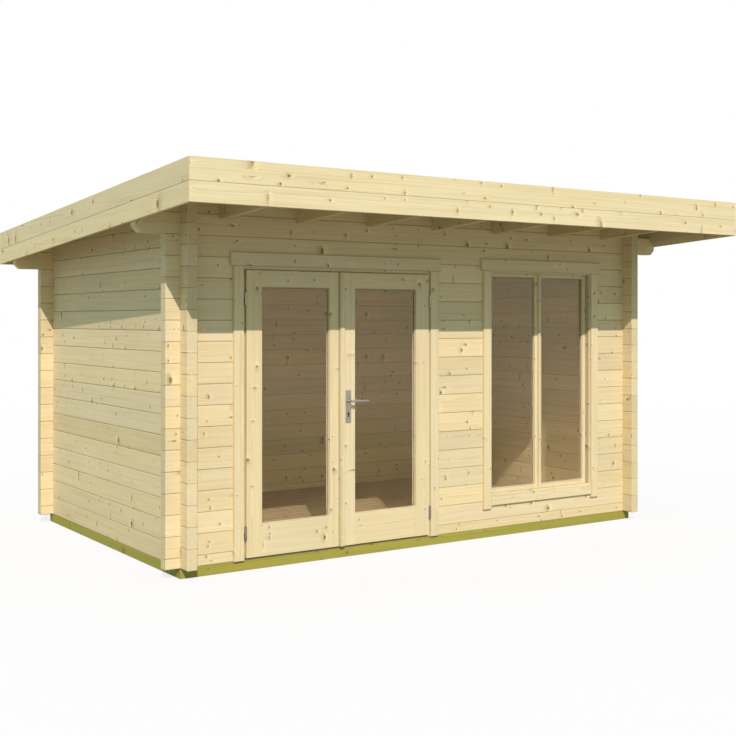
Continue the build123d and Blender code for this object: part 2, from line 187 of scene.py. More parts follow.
figure = {
    # scales of each noise along the grain and across it
    "strayScales": (0.9, 2.2),
    "wobbleScales": (5.0, 22.0),
    "streakScales": (1.1, 48.0),  # streaks as wide as a finger
    "fibreScales": (9.0, 700.0),
    "cloudScales": (1.6, 6.0),
    "strayReach": 0.016,  # how far the pith strays, metres
    "wobbleReach": 0.006,  # how far a ring wobbles, metres
    "knotEvery": 0.21,  # along the trunk, metres
    "knotTurn": 1.05,  # round the trunk, radians
    "knotLength": 1.2,  # along the grain, in knot sizes
    "knotSmallest": 0.45,  # in knot sizes
    "knotRim": (1.02, 0.8),  # where a knot starts and where it is full, in knot sizes
    "haloRim": (2.6, 0.9),
    "shareSoft": 0.02,
    "endKnots": 0.9,  # how much of a knot is lost on end grain
    "faintest": 0.6,
    "largeRare": 3.5,  # the higher, the rarer large knots are
    "longRare": 5.0,  # and long ones
    "longPale": 0.75,  # how much paler a knot cut along its length is
    "rimScale": 160.0,  # of the noise that makes a knot's rim ragged
    "rimRagged": 0.6,
    "spikeFrom": 0.85,  # the shortest knot across the grain, in knot sizes
    "spikeReach": 3.0,  # how much longer the longest is
    "spikeCurve": 9.0,  # how much such a knot curves
    "flowLength": 4.0,  # how far along the grain a knot bends it, in knot sizes
    "flowWidth": 1.6,  # and how far across, in lengths of the knot
    "flowFade": 0.6,
    "swellFade": 0.45,
    "grainLift": 1.6,  # how far rings bend round a knot, in knot sizes
    "lateWood": (0.25, 0.9),  # where in a ring its dark wood starts and where it is full
    "ringEnd": (1.0, 0.93),
    # how much each of these darkens or lightens the wood
    "bendShade": 0.55,
    "haloShade": 0.45,
    "streakShade": 1.1,
    "fibreShade": 0.3,
    "cloudShade": 0.14,
    "endShade": 0.07,
    "knotShade": 0.92,
    "bendPale": 0.12,
    "warmest": (1.0, 0.975, 0.90),  # tint of the warmest board
    "rough": 0.5,
    "fibreRough": 0.18,
    "endRough": 0.15,
    "lateHeight": 0.35,
    "fibreHeight": 0.5,
    "knotHeight": 0.6,
}


def addKnots(tree, given, along, turn, radius):
    # One knot to a cell of the trunk's surface
    cell = combine(tree, calc(tree, "DIVIDE", along, figure["knotEvery"]),
                   calc(tree, "DIVIDE", turn, figure["knotTurn"]))
    knots = add(tree, "ShaderNodeTexVoronoi", {"Vector": cell, "Scale": 1.0}, voronoi_dimensions="2D").outputs
    away = split(tree, vectorCalc(tree, "SUBTRACT", cell, knots["Position"]))
    awayAlong = times(tree, away[0], figure["knotEvery"])
    awayRound = times(tree, away[1], figure["knotTurn"], radius)
    chance = add(tree, "ShaderNodeSeparateColor", {"Color": knots["Color"]}).outputs
    curve = swing(tree, chance[1], 2 * figure["spikeCurve"])
    awayAlong = plus(tree, awayAlong, times(tree, awayRound, awayRound, curve))
    share = given["Knot Share"]
    there = times(tree, ease(tree, chance[0], share, calc(tree, "SUBTRACT", share, figure["shareSoft"])),
                  ramp(tree, given["End Grain"], -figure["endKnots"], 1.0))
    # 37 makes a second chance of the first one's later digits, as 7.3 does for warmth
    faint = calc(tree, "FRACT", times(tree, chance[0], 37.0))
    faint = ramp(tree, faint, 1 - figure["faintest"], figure["faintest"])
    size = calc(tree, "POWER", chance[1], figure["largeRare"])
    size = times(tree, plus(tree, size, figure["knotSmallest"]), given["Knot Size"])
    spike = calc(tree, "POWER", chance[2], figure["longRare"])
    reach = ramp(tree, spike, figure["spikeReach"], figure["spikeFrom"])
    rim = noise(tree, given["Place"], scale=figure["rimScale"])

    def awayFrom(long, wide):
        # Distance to the knot in knot sizes, shortened along and across the grain
        first = calc(tree, "DIVIDE", awayAlong, long)
        second = calc(tree, "DIVIDE", awayRound, wide)
        squares = plus(tree, times(tree, first, first), times(tree, second, second))
        return calc(tree, "DIVIDE", calc(tree, "SQRT", squares), size)

    ragged = swing(tree, rim["Fac"], figure["rimRagged"], 1.0)
    near = times(tree, awayFrom(figure["knotLength"], reach), ragged)
    paler = ramp(tree, spike, -figure["longPale"], 1.0)
    knot = times(tree, ease(tree, near, *figure["knotRim"]), there, paler, faint)
    halo = times(tree, ease(tree, near, *figure["haloRim"]), there)
    flow = awayFrom(figure["flowLength"], times(tree, reach, figure["flowWidth"]))
    bend = times(tree, calc(tree, "EXPONENT", times(tree, flow, flow, -figure["flowFade"])), there)
    # Painted highlight and shade: fibres that swell round a knot are drawn lighter before it and darker
    # behind it
    side = calc(tree, "DIVIDE", awayAlong, size)
    side = calc(tree, "DIVIDE", side, ramp(tree, times(tree, side, side), figure["swellFade"], 1.0))
    swellShading = times(tree, side, bend, given["Swell Shading"])
    return knot, halo, bend, swellShading, times(tree, bend, size, figure["grainLift"])


def makeWoodFigure():
    tree, given, put = newTree("ShaderNodeTree", "woodFigure", {
        "Vector": ["Place"],
        "Float": ["Board", "End Grain", "Painted Shade Mask", "Ring Width", "Ring Strength", "Knot Size",
                  "Board Range", "Swell Shading", "Knot Share", "Joint Shade"],
        "Color": ["Pale", "Dark", "Knot Colour"],
    }, {"Color": ["Color"], "Float": ["Roughness", "Height"]})
    place = given["Place"]

    # The trunk isn't straight
    slow = grainNoise(tree, place, figure["strayScales"], detail=1.5)
    stray = vectorCalc(tree, "SUBTRACT", slow["Color"], (0.5, 0.5, 0.5))
    stray = vectorCalc(tree, "MULTIPLY", stray, (0.0, figure["strayReach"], figure["strayReach"]))
    trunk = vectorCalc(tree, "ADD", place, stray)
    along, sideways, up = split(tree, trunk)
    radius = vectorCalc(tree, "LENGTH", vectorCalc(tree, "MULTIPLY", trunk, (0.0, 1.0, 1.0)))
    turn = calc(tree, "ARCTAN2", up, sideways)
    knot, halo, bend, swellShading, lift = addKnots(tree, given, along, turn, radius)

    # Rings, each with a soft pale start and a thin dark end
    wobble = grainNoise(tree, place, figure["wobbleScales"])
    ringPlace = plus(tree, radius, lift, times(tree, wobble["Fac"], figure["wobbleReach"]))
    ring = calc(tree, "FRACT", calc(tree, "DIVIDE", ringPlace, given["Ring Width"]))
    late = times(tree, ease(tree, ring, *figure["lateWood"]), ease(tree, ring, *figure["ringEnd"]))

    streak = grainNoise(tree, place, figure["streakScales"], detail=3.0, roughness=0.6)["Fac"]
    fibre = grainNoise(tree, place, figure["fibreScales"])["Fac"]
    cloud = grainNoise(tree, place, figure["cloudScales"])["Fac"]
    dark = plus(
        tree,
        times(tree, late, ramp(tree, bend, figure["bendShade"], given["Ring Strength"])),
        times(tree, halo, figure["haloShade"]),
        swing(tree, streak, figure["streakShade"]),
        swing(tree, fibre, figure["fibreShade"]),
    )
    tone = mixColour(tree, dark, given["Pale"], given["Dark"])
    tone = mixColour(tree, times(tree, bend, figure["bendPale"]), tone, given["Pale"])
    tone = mixColour(tree, times(tree, knot, figure["knotShade"]), tone, given["Knot Colour"])
    warmth = calc(tree, "FRACT", times(tree, given["Board"], 7.3))
    tone = mixColour(tree, warmth, tone, vectorCalc(tree, "MULTIPLY", tone, figure["warmest"]))

    # Each board is a little lighter or darker, and end grain drinks light
    level = plus(
        tree,
        times(tree, calc(tree, "SUBTRACT", given["Board"], 0.5), given["Board Range"]),
        swing(tree, cloud, figure["cloudShade"], 1.0),
        swellShading,
        times(tree, given["End Grain"], -figure["endShade"]),
    )
    # Painted shade: marked faces, a joint's slanting faces and the window lining's sides, are darkened by the
    # Joint Shade amount
    unshaded = calc(tree, "SUBTRACT", 1.0, times(tree, given["Painted Shade Mask"], given["Joint Shade"]))
    tone = vectorCalc(tree, "SCALE", tone, times(tree, level, unshaded))

    rough = plus(tree, ramp(tree, fibre, figure["fibreRough"], figure["rough"]),
                 times(tree, given["End Grain"], figure["endRough"]))
    height = plus(tree, times(tree, late, figure["lateHeight"]),
                  times(tree, fibre, figure["fibreHeight"]), times(tree, knot, figure["knotHeight"]))
    feed(tree, put, [tone, rough, height])
    return tree


woodFigure = makeWoodFigure()
woodSurface = {"Specular IOR Level": 0.28}
woodBump = {"Strength": 0.35, "Distance": 0.0004}

woodFinishes = {
    "log_wood": {
        "Ring Width": 0.0052, "Ring Strength": 0.30, "Knot Size": 0.0070, "Board Range": 0.16,
        "Swell Shading": 0.42, "Knot Share": 0.36, "Joint Shade": 0.27,
        "Pale": (0.795, 0.664, 0.414, 1), "Dark": (0.59, 0.435, 0.205, 1),
        "Knot Colour": (0.07, 0.035, 0.012, 1),
    },
    "joinery_wood": {
        "Ring Width": 0.0040, "Ring Strength": 0.34, "Knot Size": 0.0058, "Board Range": 0.07,
        "Swell Shading": 0.36, "Knot Share": 0.62, "Joint Shade": 0.30,
        "Pale": (0.790, 0.665, 0.418, 1), "Dark": (0.60, 0.455, 0.225, 1),
        "Knot Colour": (0.07, 0.035, 0.012, 1),
    },
    "roof_wood": {
        "Ring Width": 0.0095, "Ring Strength": 0.28, "Knot Size": 0.0105, "Board Range": 0.07,
        "Swell Shading": 0.30, "Knot Share": 0.52, "Joint Shade": 0.25,
        "Pale": (0.785, 0.665, 0.422, 1), "Dark": (0.60, 0.44, 0.20, 1),
        "Knot Colour": (0.17, 0.09, 0.035, 1),
    },
    # The beams' wood is toned darker than the roof's boards: painted shade for the beams under the eaves
    "beam_wood_shaded": {
        "Ring Width": 0.0060, "Ring Strength": 0.25, "Knot Size": 0.0080, "Board Range": 0.08,
        "Swell Shading": 0.15, "Knot Share": 0.40, "Joint Shade": 0.20,
        "Pale": (0.67, 0.57, 0.36, 1), "Dark": (0.51, 0.385, 0.185, 1),
        "Knot Colour": (0.10, 0.06, 0.03, 1),
    },
    "treated_wood": {
        "Ring Width": 0.0060, "Ring Strength": 0.45, "Knot Size": 0.0080, "Board Range": 0.12,
        "Swell Shading": 0.15, "Knot Share": 0.25, "Joint Shade": 0.20,
        "Pale": (0.395, 0.36, 0.070, 1), "Dark": (0.26, 0.23, 0.034, 1),
        "Knot Colour": (0.11, 0.09, 0.02, 1),
    },
    "floor_wood": {
        "Ring Width": 0.0050, "Ring Strength": 0.45, "Knot Size": 0.0070, "Board Range": 0.14,
        "Swell Shading": 0.15, "Knot Share": 0.40, "Joint Shade": 0.55,
        "Pale": (0.72, 0.535, 0.325, 1), "Dark": (0.50, 0.345, 0.185, 1),
        "Knot Colour": (0.12, 0.06, 0.03, 1),
    },
}


def woodMaterial(finish, grain):
    name = f"{finish}_{grain.lower()}"
    if name in bpy.data.materials:
        return bpy.data.materials[name]
    material, tree, shader = newMaterial(name, woodSurface)
    pith, *marks = [add(tree, "ShaderNodeAttribute", attribute_name=mark).outputs
                    for mark in ("pith", "board", "endGrain", "joint")]
    fromPith = split(tree, vectorCalc(tree, "SUBTRACT", objectPlace(tree), pith["Vector"]))
    order = {"X": (0, 1, 2), "Y": (1, 0, 2), "Z": (2, 0, 1)}[grain]
    place = combine(tree, *(fromPith[n] for n in order))
    group = add(tree, "ShaderNodeGroup", woodFinishes[finish], node_tree=woodFigure)
    feed(tree, group.inputs, [place] + [mark["Fac"] for mark in marks])
    normal = bumped(tree, group.outputs["Height"], woodBump)
    feedShader(tree, shader, group.outputs["Color"], group.outputs["Roughness"], normal)
    return material


# Timber: each CAD node's solids again, with eased edges and a pith of its own for each board

timber = {
    "sameWithin": 0.00001,  # metres between two vertices that are one
    "flatWithin": 0.001,  # radians between two faces that are one
    "sharpFrom": 25.0,  # degrees between two faces whose edge is eased
    "apart": 40.0,  # metres along the grain that a board's place in the figure may stray
    "endFacing": 0.9,  # how squarely end grain faces along the grain
    "slantBelow": 0.95,  # how squarely a slanting face may still face one way
    "laidSlant": (0.2, 0.9),  # how far up or down a slanting face of a laid board looks
    "narrow": (0.0022, 0.013),  # how wide a joint's slanting face is
    "endGrooveShade": 2.4,  # how much more painted shade than other joints the thin line between two log ends gets
    "endJointFacing": 0.3,  # how far such a line's face turns both outwards and up or down
    # how deep the pith lies from the middle of the thin side, how far aside, and how wide edges are eased
    "log": {"depth": (0.0, 0.012), "aside": 0.035, "ease": 0.0010},
    "stick": {"depth": (0.02, 0.06), "aside": 0.03, "ease": 0.0012},
    "board": {"depth": (0.045, 0.10), "aside": 0.06, "ease": 0.0012},
    "fascia": {"depth": (0.035, 0.07), "aside": 0.05, "ease": 0.0022},
}

timberPieces = {
    "front_wall_logs": ("house", "log_wood", "X", "log", ["front_wall_even_logs", "front_wall_odd_logs"]),
    "back_wall_logs": ("house", "log_wood", "X", "log", ["back_wall_even_logs", "back_wall_odd_logs"]),
    "left_wall_logs": ("house", "log_wood", "Y", "log", ["left_wall_even_logs", "left_wall_odd_logs"]),
    "right_wall_logs": ("house", "log_wood", "Y", "log", ["right_wall_even_logs", "right_wall_odd_logs"]),
    "console_timber": ("house", "log_wood", "X", "log", ["console_logs"]),
    "top_timber": ("house", "log_wood", "X", "log", ["top_logs"]),
    "beam_timber": ("house", "beam_wood_shaded", "Y", "stick", ["roof_beams"]),
    "front_back_fascia_boards": (
        "house", "roof_wood", "X", "fascia", ["front_back_upper_fascias", "front_back_lower_fascias"]),
    "side_fascia_boards": ("house", "roof_wood", "Y", "fascia", ["side_upper_fascias", "side_lower_fascias"]),
    "cross_bearer_timber": (
        "house", "treated_wood", "X", "stick", ["front_bearer_left", "front_bearer_right", "back_bearer"]),
    "side_bearer_timber": ("house", "treated_wood", "Y", "stick", ["side_bearers", "floor_joists"]),
    "door_post_timber": ("house", "joinery_wood", "Z", "stick", ["door_posts"]),
    "door_head_timber": ("house", "joinery_wood", "X", "stick", ["door_head"]),
    "window_post_timber": ("house", "joinery_wood", "Z", "stick", ["window_posts"]),
    "window_cross_timber": ("house", "joinery_wood", "X", "stick", ["window_head_and_sill"]),
    "sash_stile_timber": ("house", "joinery_wood", "Z", "stick", ["window_sash_stiles"]),
    "sash_rail_timber": ("house", "joinery_wood", "X", "stick", ["window_sash_rails"]),
    "upright_casing_boards": ("house", "joinery_wood", "Z", "board", ["upright_casings"]),
    "cross_casing_boards": ("house", "joinery_wood", "X", "board", ["cross_casings"]),
    "left_leaf_stile_timber": ("left_leaf", "joinery_wood", "Z", "stick", ["left_leaf_stiles"]),
    "left_leaf_rail_timber": ("left_leaf", "joinery_wood", "X", "stick", ["left_leaf_rails"]),
    "right_leaf_stile_timber": ("right_leaf", "joinery_wood", "Z", "stick", ["right_leaf_stiles"]),
    "right_leaf_rail_timber": ("right_leaf", "joinery_wood", "X", "stick", ["right_leaf_rails"]),
    "astragal_board": ("right_leaf", "joinery_wood", "Z", "board", ["astragal"]),
}


def solidsIn(mesh):
    # Lists of joined-up vertices, in the mesh's own order
    mesh.verts.index_update()
    seen = [False] * len(mesh.verts)
    for first in mesh.verts:
        if seen[first.index]:
            continue
        seen[first.index] = True
        found, waiting = [], [first]
        while waiting:
            vert = waiting.pop()
            found.append(vert)
            for edge in vert.link_edges:
                other = edge.other_vert(vert)
                if not seen[other.index]:
                    seen[other.index] = True
                    waiting.append(other)
        yield found


def corners(solid):
    # Lowest and highest corner of the box round a solid's vertices
    low = Vector(min(vert.co[n] for vert in solid) for n in range(3))
    high = Vector(max(vert.co[n] for vert in solid) for n in range(3))
    return low, high


def mergedMesh(node):
    # A CAD node's loose triangles as closed solids
    mesh = bmesh.new()
    mesh.from_mesh(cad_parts[node].data)
    bmesh.ops.remove_doubles(mesh, verts=mesh.verts, dist=timber["sameWithin"])
    return mesh


def solidBoxes(node):
    mesh = mergedMesh(node)
    boxes = [corners(solid) for solid in solidsIn(mesh)]
    mesh.free()
    return boxes


def easeEdges(mesh, edges, width, steps=1):
    bmesh.ops.bevel(mesh, geom=edges, offset=width, segments=steps,
                    profile=0.5, affect="EDGES", clamp_overlap=True)


def easedCopy(node, width, steps=1):
    mesh = mergedMesh(node)
    bmesh.ops.dissolve_limit(mesh, angle_limit=timber["flatWithin"], verts=mesh.verts, edges=mesh.edges)
    sharp = math.radians(timber["sharpFrom"])
    easeEdges(mesh, [edge for edge in mesh.edges if edge.is_manifold and edge.calc_face_angle() > sharp],
              width, steps)
    return mesh


def markBoards(mesh, grain, sawn, seed):
    # A pith line near each solid, a number for its tone, and which faces show end grain or get a joint's
    # painted shade
    chance = random.Random(seed)
    cut = timber[sawn]
    axis = "XYZ".index(grain)
    cross = [n for n in range(3) if n != axis]
    pith = mesh.verts.layers.float_vector.new("pith")
    board = mesh.verts.layers.float.new("board")
    endGrain = mesh.faces.layers.float.new("endGrain")
    joint = mesh.faces.layers.float.new("joint")
    for solid in solidsIn(mesh):
        low, high = corners(solid)
        size = high - low
        heart = (low + high) / 2
        thin, wide = sorted(cross, key=lambda n: size[n])
        heart[thin] += chance.choice((-1, 1)) * chance.uniform(*cut["depth"])
        heart[wide] += chance.uniform(-1, 1) * cut["aside"]
        heart[axis] += chance.uniform(-timber["apart"], timber["apart"])
        tone = chance.random()
        for vert in solid:
            vert[pith] = heart
            vert[board] = tone
    narrowest, widest = timber["narrow"]
    for face in mesh.faces:
        face.normal_update()
        normal = face.normal
        face[endGrain] = 1.0 if abs(normal[axis]) > timber["endFacing"] else 0.0
        width = face.calc_area() / max(edge.calc_length() for edge in face.edges)
        slanting = max(abs(value) for value in normal) < timber["slantBelow"]
        outAndUp = min(abs(normal[axis]), abs(normal.z)) > timber["endJointFacing"]
        # Painted shade: a joint's narrow slanting faces are marked to be darkened, the thin line between two
        # log ends more so
        if sawn == "log" and slanting and width < narrowest and outAndUp:
            face[joint] = timber["endGrooveShade"]
        else:
            face[joint] = 1.0 if slanting and narrowest < width < widest else 0.0


def joined(name, meshes, *materials):
    # One object from several bmeshes, which are used up
    data = bpy.data.meshes.new(name)
    whole = bmesh.new()
    for mesh in meshes:
        part = bpy.data.meshes.new("part")
        mesh.to_mesh(part)
        mesh.free()
        whole.from_mesh(part)
        bpy.data.meshes.remove(part)
    whole.to_mesh(data)
    whole.free()
    for material in materials:
        data.materials.append(material)
    return newObject(name, data)


def dropNormals(data):
    # The CAD mesh's own normals no longer fit once its edges are eased
    for kept in ("custom_normal", "sharp_edge", "sharp_face"):
        if kept in data.attributes:
            data.attributes.remove(data.attributes[kept])


def makeTimber():
    for name, (body, finish, grain, sawn, nodes) in timberPieces.items():
        meshes = []
        for node in nodes:
            mesh = easedCopy(node, timber[sawn]["ease"])
            markBoards(mesh, grain, sawn, node)
            meshes.append(mesh)
        piece = joined(name, meshes, woodMaterial(finish, grain))
        dropNormals(piece.data)
        piece.data.shade_flat()
        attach(piece, body)
        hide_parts(*nodes)
        "roof_wood" if finish == "beam_wood_shaded" else finish
    print("timber:", len(timberPieces), "pieces")


makeTimber()


# Geometry Nodes: one tree lays boards or felt side by side down a slope

def geometryTree(name, inputs):
    geometry = {"Geometry": ["Geometry"]}
    return newTree("GeometryNodeTree", name, {**geometry, **inputs}, geometry)


def shape(tree, kind, inputs=None, **settings):
    # A node of geometry, as its first output
    return add(tree, "GeometryNode" + kind, inputs, **settings).outputs[0]


def grown(name, tree, values, start=None):
    # The tree's geometry as a plain mesh object, from nothing or from a mesh of points
    piece = newObject(name, start or bpy.data.meshes.new(name))
    modifier = piece.modifiers.new("grow", "NODES")
    modifier.node_group = tree
    for item in tree.interface.items_tree:
        if item.item_type == "SOCKET" and item.in_out == "INPUT" and item.name in values:
            modifier[item.identifier] = values[item.name]
    graph = bpy.context.evaluated_depsgraph_get()
    graph.update()
    mesh = bpy.data.meshes.new_from_object(piece.evaluated_get(graph), depsgraph=graph)
    piece.modifiers.remove(modifier)
    piece.data = mesh
    return piece


def easedSection(tree, width, height, edge):
    section = shape(tree, "CurvePrimitiveQuadrilateral", {"Width": width, "Height": height})
    return shape(tree, "FilletCurve", {"Curve": section, "Radius": edge})


def storeMark(tree, geometry, label, value, domain, kind="FLOAT"):
    inputs = {"Geometry": geometry, "Name": label, "Value": value}
    return shape(tree, "StoreNamedAttribute", inputs, data_type=kind, domain=domain)


def putFinished(tree, put, geometry, material):
    dressed = shape(tree, "SetMaterial", {"Geometry": geometry, "Material": material})
    feed(tree, put, [shape(tree, "SetShadeSmooth", {"Geometry": dressed, "Shade Smooth": False})])


def makeLaidRow():
    tree, given, put = geometryTree("laidRow", {
        "Float": ["Length", "Width", "Thickness", "Edge", "Tilt", "Pith Spread"],
        "Int": ["Count", "Seed"],
        "Vector": ["First", "Step"],
        "Material": ["Finish"],
    })
    ends = [combine(tree, times(tree, given["Length"], half)) for half in (-0.5, 0.5)]
    spine = shape(tree, "CurvePrimitiveLine", {"Start": ends[0], "End": ends[1]})
    section = easedSection(tree, given["Width"], given["Thickness"], given["Edge"])
    board = shape(tree, "CurveToMesh", {"Curve": spine, "Profile Curve": section, "Fill Caps": True})
    places = shape(tree, "MeshLine", {
        "Count": given["Count"], "Start Location": given["First"], "Offset": given["Step"]})
    laid = shape(tree, "InstanceOnPoints", {
        "Points": places, "Instance": board, "Rotation": combine(tree, given["Tilt"])})

    # Each board has a tone and a pith of its own
    tone = add(tree, "FunctionNodeRandomValue", {"Seed": given["Seed"]}, data_type="FLOAT")
    toned = storeMark(tree, laid, "board", tone.outputs[1], "INSTANCE")
    apart = timber["apart"]
    stray = add(tree, "FunctionNodeRandomValue",
                {0: (-apart, -1.0, -1.0), 1: (apart, 1.0, 1.0), "Seed": plus(tree, given["Seed"], 7.0)},
                data_type="FLOAT_VECTOR")
    reach = combine(tree, 1.0, given["Pith Spread"], given["Pith Spread"])
    strayed = vectorCalc(tree, "MULTIPLY", stray.outputs[0], reach)
    pith = vectorCalc(tree, "ADD", shape(tree, "InputPosition"), strayed)
    marked = storeMark(tree, toned, "pith", pith, "INSTANCE", "FLOAT_VECTOR")

    # Which faces are end grain, and which slant down into a joint and get painted shade
    real = shape(tree, "RealizeInstances", {"Geometry": marked})
    normal = split(tree, shape(tree, "InputNormal"))
    steep = calc(tree, "GREATER_THAN", calc(tree, "ABSOLUTE", normal[0]), timber["endFacing"])
    ended = storeMark(tree, real, "endGrain", steep, "FACE")
    upward = calc(tree, "ABSOLUTE", normal[2])
    slanted = times(tree, calc(tree, "LESS_THAN", upward, timber["laidSlant"][1]),
                    calc(tree, "GREATER_THAN", upward, timber["laidSlant"][0]))
    shaded = storeMark(tree, ended, "joint", slanted, "FACE")
    putFinished(tree, put, shaded, given["Finish"])
    return tree


laidRow = makeLaidRow()

# names with a capital are inputs of the tree
roofBoards = {"cover": 0.0963, "gap": 0.0002, "Edge": 0.0030, "Pith Spread": 0.09, "Seed": 3}
floorBoards = {"cover": 0.0900, "gap": 0.0006, "Edge": 0.0040, "Pith Spread": 0.07, "Seed": 11}
feltStrips = {"Count": 4, "lap": 0.090, "Thickness": 0.0028, "Edge": 0.0008, "lift": 0.0012}


def layerSlope(node):
    # A sloping CAD layer at its middle height: front, run down the slope, tilt and upright thickness
    low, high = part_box(node)
    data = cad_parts[node].data
    frontZ = [vert.co.z for vert in data.vertices if vert.co.y < low.y + 0.001]
    backZ = [vert.co.z for vert in data.vertices if vert.co.y > high.y - 0.001]
    start = Vector((0, low.y, (min(frontZ) + max(frontZ)) / 2))
    run = Vector((0, high.y, (min(backZ) + max(backZ)) / 2)) - start
    return start, run, math.atan2(run.z, run.y), max(frontZ) - min(frontZ)


def floorRow():
    # The floor's corners, and how many boards of what width cover it
    low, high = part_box("floor")
    count = round((high.y - low.y) / floorBoards["cover"])
    return low, high, count, (high.y - low.y) / count


def feltRow():
    # Front, run and tilt of the felt, the step from strip to strip, and a strip's width
    start, run, tilt, rise = layerSlope("roofing_felt")
    step = run * (1 - feltStrips["lap"] / run.length) / feltStrips["Count"]
    return start, run, tilt, step, step.length + feltStrips["lap"]


def layRow(name, node, values):
    # A row across the whole of a CAD layer, which it stands for
    low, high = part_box(node)
    values["Length"] = high.x - low.x
    piece = grown(name, laidRow, values)
    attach(piece, "house")
    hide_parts(node)
    print(name.replace("_", " ") + ":", values["Count"])


def makeRoofBoards():
    start, run, tilt, rise = layerSlope("roof_deck")
    count = round(run.length / roofBoards["cover"])
    step = run / count
    layRow("roof_boards", "roof_deck", {
        **roofBoards,
        "Width": step.length - roofBoards["gap"],
        "Thickness": rise * math.cos(tilt),
        "Count": count,
        "First": start + step / 2,
        "Step": step,
        "Tilt": tilt,
        "Finish": woodMaterial("roof_wood", "X"),
    })


def makeFloorBoards():
    low, high, count, width = floorRow()
    layRow("floor_boards", "floor", {
        **floorBoards,
        "Width": width - floorBoards["gap"],
        "Thickness": high.z - low.z,
        "Count": count,
        "First": Vector((0, low.y + width / 2, (low.z + high.z) / 2)),
        "Step": Vector((0, width, 0)),
        "Finish": woodMaterial("floor_wood", "X"),
    })


# Mineral felt: slate granules on bitumen

feltLook = {
    "granules": 900.0,  # how many side by side in a metre
    "driftScale": 3.0,
    "dark": (0.045, 0.050, 0.052, 1),
    "pale": (0.150, 0.158, 0.160, 1),
    "dusty": (0.09, 0.088, 0.08, 1),
    "dusting": (0.35, 0.75, 0.0, 0.35),  # from and to which drift, and from and to how much
    "rough": 0.82,
    "roughRange": 0.15,
    "bump": {"Strength": 0.6, "Distance": 0.0006},
}


def makeFeltMaterial():
    material, tree, shader = newMaterial("mineral_felt", {})
    place = objectPlace(tree)
    grit = add(tree, "ShaderNodeTexVoronoi", {"Vector": place, "Scale": feltLook["granules"]}).outputs
    chance = add(tree, "ShaderNodeSeparateColor", {"Color": grit["Color"]}).outputs
    drift = noise(tree, place, scale=feltLook["driftScale"], detail=4.0)
    dust = ease(tree, drift["Fac"], *feltLook["dusting"])
    tone = mixColour(tree, chance[0], feltLook["dark"], feltLook["pale"])
    tone = mixColour(tree, dust, tone, feltLook["dusty"])
    rough = ramp(tree, chance[1], feltLook["roughRange"], feltLook["rough"])
    feedShader(tree, shader, tone, rough, bumped(tree, grit["Distance"], feltLook["bump"]))
    return material


def makeFelt():
    start, run, tilt, step, width = feltRow()
    raised = Vector((0, 0, feltStrips["lift"]))
    layRow("felt_strips", "roofing_felt", {
        **feltStrips,
        "Width": width,
        "First": start + run.normalized() * width / 2 + raised,
        "Step": step,
        "Tilt": tilt + feltStrips["Thickness"] / step.length,
        "Finish": makeFeltMaterial(),
    })


makeRoofBoards()
makeFloorBoards()
makeFelt()


# Glass and metal: panes, hinges and threshold are the CAD solids as they are

glassLook = {"Base Color": (0.945, 0.945, 0.865, 1), "Roughness": 0.0, "IOR": 1.48,
             "Transmission Weight": 1.0}
glassShadow = (0.70, 0.73, 0.74, 1)


def makeGlass():
    material, tree, shader = newMaterial("clear_glass", glassLook)
    clear = add(tree, "ShaderNodeBsdfTransparent", {"Color": glassShadow})
    path = add(tree, "ShaderNodeLightPath")
    mixSurface(tree, "Material Output", path.outputs["Is Shadow Ray"], shader.outputs[0], clear.outputs[0])
    return material


brushed = {"lines": 0.16, "smudges": 0.12, "smudgeScale": 30.0, "bump": {"Strength": 0.2, "Distance": 0.0001}}


def makeBrushedGroup():
    tree, given, put = newTree("ShaderNodeTree", "brushedMetal", {
        "Vector": ["Place", "Stretch"],
        "Float": ["Roughness"],
    }, {"Float": ["Roughness", "Height", "Smudge"]})
    lines = noise(tree, vectorCalc(tree, "MULTIPLY", given["Place"], given["Stretch"]), detail=3.0)["Fac"]
    smudge = noise(tree, given["Place"], scale=brushed["smudgeScale"], detail=3.0)["Fac"]
    rough = plus(tree, given["Roughness"], swing(tree, lines, brushed["lines"]),
                 swing(tree, smudge, brushed["smudges"]))
    feed(tree, put, [rough, lines, smudge])
    return tree


brushedMetal = makeBrushedGroup()

metals = {
    "satin_steel": {"pale": (0.50, 0.460, 0.475, 1), "dark": (0.41, 0.375, 0.385, 1),
                    "stretch": (900, 900, 60), "roughness": 0.34},
    "dark_nickel": {"pale": (0.13, 0.115, 0.10, 1), "dark": (0.08, 0.07, 0.062, 1),
                    "stretch": (300, 300, 300), "roughness": 0.42},
    "plated_steel": {"pale": (0.44, 0.36, 0.325, 1), "dark": (0.31, 0.25, 0.225, 1),
                     "stretch": (400, 400, 400), "roughness": 0.46},
    "plated_steel_heads": {"pale": (0.46, 0.42, 0.39, 1), "dark": (0.33, 0.30, 0.28, 1),
                           "stretch": (500, 500, 500), "roughness": 0.5},
    # The threshold's aluminium is toned dark and brown: painted shade for the threshold under the door leaves
    "bare_aluminium": {"pale": (0.34, 0.29, 0.26, 1), "dark": (0.23, 0.195, 0.175, 1),
                       "stretch": (30, 1200, 1200), "roughness": 0.42},
}


def metalMaterial(name):
    values = metals[name]
    material, tree, shader = newMaterial(name, {"Metallic": 1.0})
    group = add(tree, "ShaderNodeGroup", node_tree=brushedMetal)
    feed(tree, group.inputs, [objectPlace(tree), values["stretch"], values["roughness"]])
    tone = mixColour(tree, group.outputs["Smudge"], values["pale"], values["dark"])
    normal = bumped(tree, group.outputs["Height"], brushed["bump"])
    feedShader(tree, shader, tone, group.outputs["Roughness"], normal)
    return material


def dress(material, *nodes):
    for node in nodes:
        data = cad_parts[node].data
        data.materials.clear()
        data.materials.append(material)


